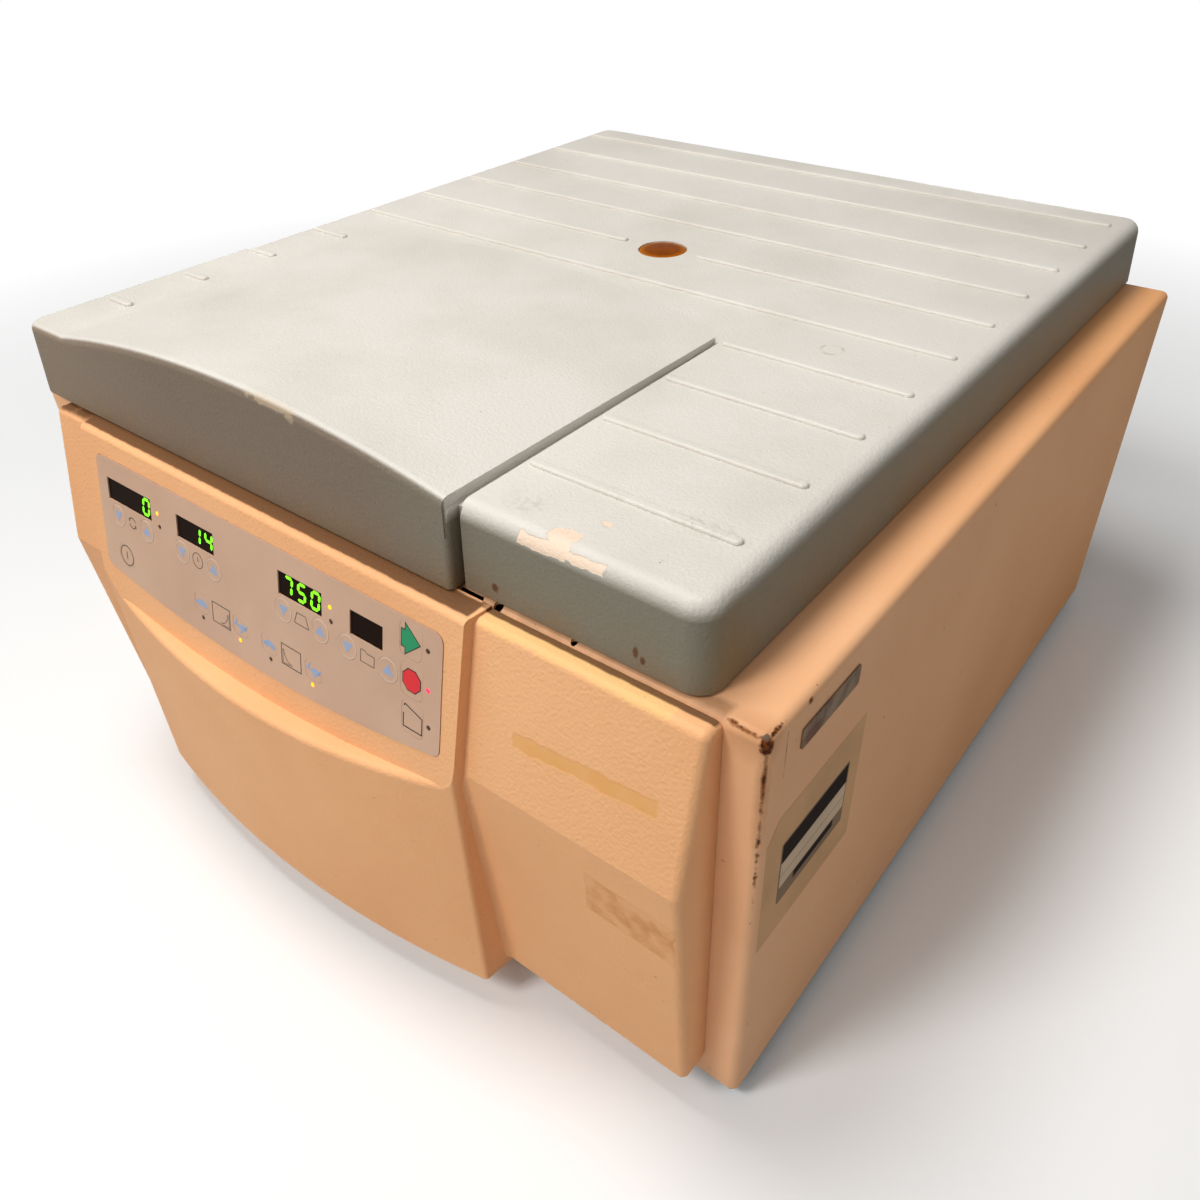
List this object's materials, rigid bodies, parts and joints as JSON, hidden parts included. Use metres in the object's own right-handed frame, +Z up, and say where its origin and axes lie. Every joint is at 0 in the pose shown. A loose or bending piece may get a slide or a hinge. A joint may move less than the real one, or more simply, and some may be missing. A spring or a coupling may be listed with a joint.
{
  "type": "benchtop cytocentrifuge",
  "caption": "Benchtop laboratory centrifuge with hinged ribbed lid, bowed front cover, key panel with displays and a swing-out rotor carrying slide carriers.",
  "frame": {"origin": "middle of the bounding box's bottom face, on the bench under the feet", "axes": "+Z up, -Y towards the operator at the front, +X to the operator's right"},
  "size_m": [0.4908, 0.593, 0.3172],
  "materials": {
    "beige_steel": "semi-gloss paint on sheet steel",
    "dark_steel": "satin black paint",
    "zinc_steel": "zinc plated",
    "stainless": "spun stainless steel",
    "beige_plastic": "pebbled moulded plastic",
    "overlay_film": "printed matte film",
    "display_black": "dark filter with light emitting digits",
    "led_resin": "tinted clear resin",
    "circuit_board": "solder mask",
    "lid_grey": "painted structural foam plastic, fine texture",
    "amber": "amber polycarbonate",
    "liner_white": "vacuum formed sheet",
    "black_rubber": "moulded rubber",
    "black_plastic": "moulded plastic",
    "alloy": "anodised aluminium",
    "cast_motor": "grey paint on the motor",
    "carrier_plastic": "natural acetal",
    "copper_coil": "taped winding on a laminated core"
  },
  "bodies": {
    "cabinet": {"cabinet_shell": "beige_steel", "base_pan": "dark_steel", "feet": "black_rubber", "rear_panel": "beige_steel", "cooling_fan": "black_plastic", "power_inlet": "black_plastic", "rear_screws": "zinc_steel", "front_cover": "beige_plastic", "keypad_overlay": "overlay_film", "display_modules": "display_black", "indicator_leds": "led_resin", "display_board": "circuit_board", "hinge_brackets": "zinc_steel", "hinge_pins": "zinc_steel", "lid_bumpers": "black_rubber", "latch_frame": "zinc_steel", "latch_solenoid": "copper_coil", "chamber_bowl": "stainless", "chamber_gasket": "black_rubber", "drive_motor": "cast_motor", "motor_mounts": "black_rubber", "shaft_boot": "black_rubber", "motor_controller": "circuit_board", "power_supply": "copper_coil", "side_tag_plate": "zinc_steel"},
    "lid": {"lid_shell": "lid_grey", "sight_window": "amber", "lid_liner": "liner_white", "lid_striker": "zinc_steel", "hinge_leaves": "zinc_steel"},
    "rotor": {"drive_shaft": "stainless", "rotor_head": "alloy", "trunnion_pins": "stainless", "rotor_nut": "alloy"},
    "bucket_set_1": {"bucket_1": "alloy", "slide_carrier_1": "carrier_plastic"},
    "bucket_set_2": {"bucket_2": "alloy", "slide_carrier_2": "carrier_plastic"},
    "bucket_set_3": {"bucket_3": "alloy", "slide_carrier_3": "carrier_plastic"},
    "bucket_set_4": {"bucket_4": "alloy", "slide_carrier_4": "carrier_plastic"},
    "latch": {"latch_hook": "zinc_steel"},
    "power_switch": {"power_rocker": "black_plastic"},
    "button_speed_down": {"key_speed_down": "overlay_film"},
    "button_speed_up": {"key_speed_up": "overlay_film"},
    "button_time_down": {"key_time_down": "overlay_film"},
    "button_time_up": {"key_time_up": "overlay_film"},
    "button_rotor_down": {"key_rotor_down": "overlay_film"},
    "button_rotor_up": {"key_rotor_up": "overlay_film"},
    "button_program_down": {"key_program_down": "overlay_film"},
    "button_program_up": {"key_program_up": "overlay_film"},
    "button_power": {"key_power": "overlay_film"},
    "button_start": {"key_start": "overlay_film"},
    "button_stop": {"key_stop": "overlay_film"},
    "button_lid": {"key_lid": "overlay_film"},
    "button_accel_slow": {"key_accel_slow": "overlay_film"},
    "button_accel_fast": {"key_accel_fast": "overlay_film"},
    "button_brake_slow": {"key_brake_slow": "overlay_film"},
    "button_brake_fast": {"key_brake_fast": "overlay_film"}
  },
  "joints": [
    {"name": "lid_hinge", "type": "hinge", "parent": "cabinet", "child": "lid", "pos_m": [-0.012, 0.2893, 0.266], "axis": [-1, 0, 0], "range_deg": [0, 85]},
    {"name": "rotor_spin", "type": "hinge", "parent": "cabinet", "child": "rotor", "pos_m": [-0.0135, 0.0485, 0.12], "axis": [0, 0, 1], "continuous": true},
    {"name": "bucket_swing_1", "type": "hinge", "parent": "rotor", "child": "bucket_set_1", "pos_m": [0.0915, 0.0485, 0.212], "axis": [0, -1, 0], "range_deg": [0, 90]},
    {"name": "bucket_swing_2", "type": "hinge", "parent": "rotor", "child": "bucket_set_2", "pos_m": [-0.0135, 0.1535, 0.212], "axis": [1, 0, 0], "range_deg": [0, 90]},
    {"name": "bucket_swing_3", "type": "hinge", "parent": "rotor", "child": "bucket_set_3", "pos_m": [-0.1185, 0.0485, 0.212], "axis": [0, 1, 0], "range_deg": [0, 90]},
    {"name": "bucket_swing_4", "type": "hinge", "parent": "rotor", "child": "bucket_set_4", "pos_m": [-0.0135, -0.0565, 0.212], "axis": [-1, 0, 0], "range_deg": [0, 90]},
    {"name": "latch_pivot", "type": "hinge", "parent": "cabinet", "child": "latch", "pos_m": [-0.038, -0.217, 0.203], "axis": [1, 0, 0], "range_deg": [0, 12]},
    {"name": "power_switch_rock", "type": "hinge", "parent": "cabinet", "child": "power_switch", "pos_m": [0.178, 0.2657, 0.0935], "axis": [1, 0, 0], "range_deg": [0, 14]},
    {"name": "press_speed_down", "type": "slide", "parent": "cabinet", "child": "button_speed_down", "axis": [0, 0.976, -0.2176], "range_m": [0, 0.0004], "stiffness_N_per_m": 600},
    {"name": "press_speed_up", "type": "slide", "parent": "cabinet", "child": "button_speed_up", "axis": [0, 0.976, -0.2176], "range_m": [0, 0.0004], "stiffness_N_per_m": 600},
    {"name": "press_time_down", "type": "slide", "parent": "cabinet", "child": "button_time_down", "axis": [0, 0.976, -0.2176], "range_m": [0, 0.0004], "stiffness_N_per_m": 600},
    {"name": "press_time_up", "type": "slide", "parent": "cabinet", "child": "button_time_up", "axis": [0, 0.976, -0.2176], "range_m": [0, 0.0004], "stiffness_N_per_m": 600},
    {"name": "press_rotor_down", "type": "slide", "parent": "cabinet", "child": "button_rotor_down", "axis": [0, 0.976, -0.2176], "range_m": [0, 0.0004], "stiffness_N_per_m": 600},
    {"name": "press_rotor_up", "type": "slide", "parent": "cabinet", "child": "button_rotor_up", "axis": [0, 0.976, -0.2176], "range_m": [0, 0.0004], "stiffness_N_per_m": 600},
    {"name": "press_program_down", "type": "slide", "parent": "cabinet", "child": "button_program_down", "axis": [0, 0.976, -0.2176], "range_m": [0, 0.0004], "stiffness_N_per_m": 600},
    {"name": "press_program_up", "type": "slide", "parent": "cabinet", "child": "button_program_up", "axis": [0, 0.976, -0.2176], "range_m": [0, 0.0004], "stiffness_N_per_m": 600},
    {"name": "press_power", "type": "slide", "parent": "cabinet", "child": "button_power", "axis": [0, 0.976, -0.2176], "range_m": [0, 0.0004], "stiffness_N_per_m": 600},
    {"name": "press_start", "type": "slide", "parent": "cabinet", "child": "button_start", "axis": [0, 0.976, -0.2176], "range_m": [0, 0.0004], "stiffness_N_per_m": 600},
    {"name": "press_stop", "type": "slide", "parent": "cabinet", "child": "button_stop", "axis": [0, 0.976, -0.2176], "range_m": [0, 0.0004], "stiffness_N_per_m": 600},
    {"name": "press_lid", "type": "slide", "parent": "cabinet", "child": "button_lid", "axis": [0, 0.976, -0.2176], "range_m": [0, 0.0004], "stiffness_N_per_m": 600},
    {"name": "press_accel_slow", "type": "slide", "parent": "cabinet", "child": "button_accel_slow", "axis": [0, 0.976, -0.2176], "range_m": [0, 0.0004], "stiffness_N_per_m": 600},
    {"name": "press_accel_fast", "type": "slide", "parent": "cabinet", "child": "button_accel_fast", "axis": [0, 0.976, -0.2176], "range_m": [0, 0.0004], "stiffness_N_per_m": 600},
    {"name": "press_brake_slow", "type": "slide", "parent": "cabinet", "child": "button_brake_slow", "axis": [0, 0.976, -0.2176], "range_m": [0, 0.0004], "stiffness_N_per_m": 600},
    {"name": "press_brake_fast", "type": "slide", "parent": "cabinet", "child": "button_brake_fast", "axis": [0, 0.976, -0.2176], "range_m": [0, 0.0004], "stiffness_N_per_m": 600}
  ]
}
